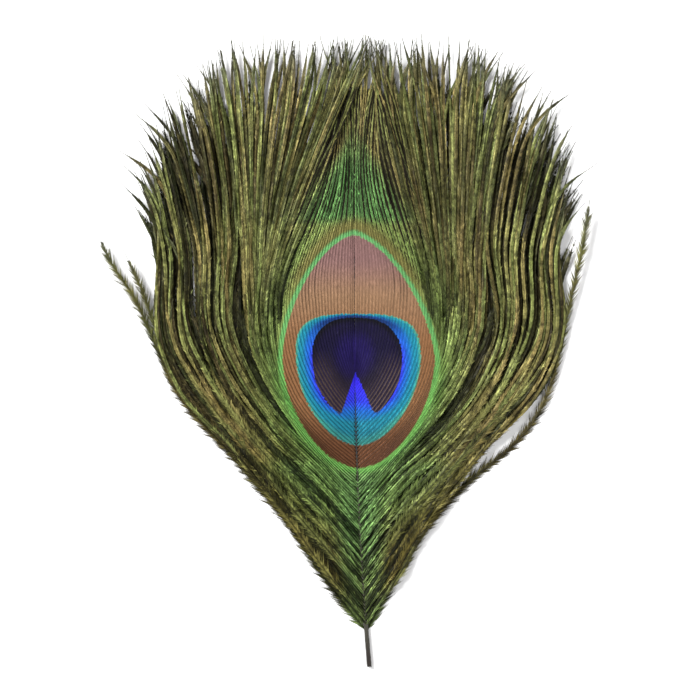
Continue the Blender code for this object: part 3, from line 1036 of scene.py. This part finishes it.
def speckled(graph, grain, rib, out, y, rim):
    """How light a barbule is by its own grain: slanted speckle, longer dull stretches, and darker rami."""
    grain_along, grain_barb, grain_out = grain
    loose = rim.step(1, 1.2)
    slanted = grain_along - abs(grain_out) * 0.5
    speckle = graph.noise(graph.join(slanted * 3, grain_barb, grain_out * 0.6), 1, 2)
    light = (1 + (speckle - 0.5) * (1.3 + 2 * loose)).at_least(0.15)
    whole = graph.noise(graph.join(grain_along * 0.75, grain_barb * 2.3, 0.3), 1, 1).step(0.38, 0.5)
    light = light * (1 - 0.5 * loose * (1 - whole))
    below_eye = y.step(-10, -20) * rim.step(0.96, 1)
    mauve = y.step(6, 14) * rim.step(1, 0.9)
    split = graph.noise(graph.join(grain_barb * 1.37, 0.5, 0.5), 1, 0).step(0.55, 0.7)
    warm = y.step(-6, 2) * rim.step(1, 0.97) * (1 - mauve)
    ribs = 0.5 - 0.25 * loose - 0.2 * warm - (0.42 - 0.5 * split) * mauve + 0.4 * below_eye
    light = light * (1 - rib * ribs)
    # Painted shade: loose barbules darker towards their tips, at the edges of each strand.
    return light * (1 - 0.4 * loose * out.step(0.5, 1))


def barb_tone(graph, tint, grain_barb, along, y, rim):
    """How light a whole barb is: tone and painted light outside the eye, nearly even in it and at the tips.
    """
    even = rim.step(1.03, 1) * 0.8
    tone = tint.at_least(0) + (0.93 - tint) * even
    tone = tone + (0.8 - tone) * 0.7 * along.step(0.86, 0.97)
    dark_barb = graph.noise(graph.join(grain_barb * 1.9, 2.5, 0.5), 1, 0).step(0.42, 0.56)
    above_eye = rim.step(1, 1.2) * y.step(24, 28) * y.step(50, 40)
    return tone * (1 - 0.45 * dark_barb * above_eye)


def barb_material():
    """Barbs and barbules, which carry the eye's colours by their place on the feather."""
    graph = Graph("iridescent_barbs")
    x, y, _ = graph.position()
    tint, along, out = graph.split(graph.attribute("barb_look"))
    grain = graph.split(graph.attribute("barb_grain"))
    grain_along, grain_barb, _ = grain
    jitter = graph.noise(graph.join(x, y, 0), 2.4, 1) - 0.5
    shifted_x, shifted_y = x + jitter * 0.6, y + (jitter + (tint - 0.85) * 0.5) * 0.7
    hue = graph.noise(graph.join(grain_barb * 0.73, grain_along * 0.03, 0), 1, 1)
    rib = out.step(0.4, 0)
    herl = herl_colour(graph, x, y, hue, along)
    painted, rim = eye_colour(graph, shifted_x, shifted_y, rib, herl)
    tone = barb_tone(graph, tint, grain_barb, along, y, rim)
    light = speckled(graph, grain, rib, out, y, rim) * (0.08 + 0.92 * (tone / 0.95) ** 1.4)
    shade = graph.mix(1, painted, graph.join(light, light, light), "MULTIPLY")
    shade = graph.mix(graph.backfacing() * 0.8, shade, DULL_BACK)
    graph.set(Base_Color=shade, Metallic=0.4, Roughness=0.45, Specular_IOR_Level=0.15)
    return graph.material


def underside_and_gap_shade_material():
    """The lower barbules: dull brown, darkened near black as painted shade in the gaps between the eye's
    barbs.
    """
    graph = Graph("dull_underside_and_gap_shade")
    x, y, _ = graph.position()
    streak = graph.noise(graph.join(x * 3, y * 0.4, 0), 1, 3)
    graph.set(Base_Color=graph.mix(streak, *UNDERSIDE_AND_GAP_SHADE), Roughness=0.8, Specular_IOR_Level=0.1)
    return graph.material


def quill_material():
    """Horn: grey-brown, with fine streaks along it, darker at the cut end and in the eye."""
    graph = Graph("quill_horn")
    x, y, z = graph.position()
    streak = graph.noise(graph.join((x - AXIS_X) * 6, y * 0.25, z * 6), 1, 4)
    horn = graph.mix(streak, *HORN)
    horn = graph.mix(y.step(-56, -62), horn, HORN_CUT_END)
    horn = graph.mix(y.step(-24, -18) * 0.8, horn, HORN_IN_EYE)
    rough = graph.noise(graph.join(x, y, z), 2) * 0.3 + 0.35
    graph.set(Base_Color=horn, Roughness=rough, Specular_IOR_Level=0.3)
    return graph.material


# --- The quill ---

# The section, in shares of its width and height: rounded on top, with a groove under it.
QUILL_SECTION = (
    (0, 0.14), (0.2, 0), (0.36, 0.05), (0.46, 0.2), (0.5, 0.45), (0.47, 0.66), (0.36, 0.86), (0.19, 0.97),
    (0, 1),
)
QUILL_RINGS = 150
QUILL_WIDTH = 0.95
CUT_SLANT, CUT_RAGGED = 0.5, 0.25  # how far the cut end slopes back, and how uneven it is
RIM_SHARE, PITH_SHARE, PITH_DEPTH = 0.72, 0.66, 0.35  # of the section inside the cut end's wall
SHARP_ANGLE = 50  # degrees


def quill_rings(section, first, last):
    """The quill's outlines from end to end. It tapers, with slight swellings."""
    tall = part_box("shaft")[1].z / MM
    rings = []
    for y in np.linspace(first, last, QUILL_RINGS):
        share = shaft_share(y)
        swelling = 1 + 0.03 * math.sin(y * 1.7) + 0.02 * math.sin(y * 4.1)
        x = axis_x(y) + section[:, 0] * QUILL_WIDTH * share * swelling
        rings.append(np.stack((x, np.full(len(section), y), section[:, 1] * tall * share), axis=1))
    return rings


def cut_end(ring):
    """Slopes the first ring back and frays it, and returns it with the rim and the pith inside it."""
    ragged = draws(QUILL_DRAWS).uniform(0, CUT_RAGGED, len(ring))
    ring[:, 1] += CUT_SLANT * ring[:, 2] / ring[:, 2].max() + ragged
    middle = ring.mean(axis=0)
    rim = middle + (ring - middle) * RIM_SHARE
    pith = middle + (ring - middle) * PITH_SHARE + (0, PITH_DEPTH, 0)
    return [pith, rim, ring]


def add_quill(material):
    """The shaft, with a rim at its cut end and pith inside the rim."""
    low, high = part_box("shaft")
    section = np.array(QUILL_SECTION + tuple((-u, v) for u, v in QUILL_SECTION[-2:0:-1]))
    rings = quill_rings(section, low.y / MM, high.y / MM)
    rings = cut_end(rings[0]) + rings[1:]
    sides = len(section)
    faces = []
    for ring in range(len(rings) - 1):
        for k in range(sides):
            a, b = ring * sides + k, ring * sides + (k + 1) % sides
            faces.append((a, b, b + sides, a + sides))
    point_count = sides * len(rings)
    faces.append(tuple(range(sides))[::-1])
    faces.append(tuple(range(point_count - sides, point_count)))
    mesh = bpy.data.meshes.new("quill")
    mesh.from_pydata((np.concatenate(rings) * MM).tolist(), [], faces)
    mesh.shade_smooth()
    mesh.set_sharp_from_angle(angle=math.radians(SHARP_ANGLE))
    mesh.materials.append(material)
    place_piece("quill", mesh, "shaft", "shaft")


# --- The studio, in metres ---

FLOOR_HALF = 1.5
KEY = {"spot": (-0.28, 0.22, 0.45), "size": 0.18, "power": 4.5}
FILL = {"spot": (0.45, -0.15, 0.5), "size": 0.5, "power": 2}
SKY_STRENGTH = 0.55
LENS = 120  # millimetres
VIEW_MARGIN = 1.102  # the width of the view over the feather's length
VIEW_SHIFT = 0.0013  # the view's middle is this far right of the feather's
CLIP = 0.01, 10


def add_floor():
    mesh = bpy.data.meshes.new("floor")
    corners = [(-1, -1), (1, -1), (1, 1), (-1, 1)]
    mesh.from_pydata([(u * FLOOR_HALF, v * FLOOR_HALF, 0) for u, v in corners], [], [(0, 1, 2, 3)])
    graph = Graph("pale_floor")
    graph.set(Base_Color=FLOOR, Roughness=0.9)
    mesh.materials.append(graph.material)
    floor = place("floor", mesh)


def add_light(name, spot, size, power):
    """A square lamp that shines at the middle of the feather."""
    light = bpy.data.lights.new(name, "AREA")
    light.size = size
    light.energy = power
    lamp = place(name, light)
    lamp.location = spot
    lamp.rotation_euler = (-Vector(spot)).to_track_quat("-Z", "Y").to_euler()


def add_studio():
    scene = bpy.context.scene
    scene.view_settings.view_transform = "Standard"
    world = bpy.data.worlds.new("studio")
    world.use_nodes = True
    sky = world.node_tree.nodes["Background"].inputs
    sky["Color"].default_value = (1, 1, 1, 1)
    sky["Strength"].default_value = SKY_STRENGTH
    scene.world = world
    add_light("key", **KEY)
    add_light("fill", **FILL)
    add_floor()


def add_camera():
    """Straight above the feather, from far off, as it is looked at on a table."""
    low, high = cad_box
    middle = (low + high) / 2
    camera = bpy.data.cameras.new("camera")
    camera.lens = LENS
    camera.clip_start, camera.clip_end = CLIP
    distance = (high.y - low.y) * VIEW_MARGIN * LENS / camera.sensor_width
    holder = place("camera", camera)
    holder.location = (middle.x + VIEW_SHIFT, middle.y, distance)
    bpy.context.scene.camera = holder


def main():
    add_camera()
    add_studio()
    materials = (barb_material(), underside_and_gap_shade_material())
    add_quill(quill_material())
    for side in (LEFT, RIGHT):
        add_herl(side, materials)
        add_eye(side, materials)
    add_strays(materials)


main()
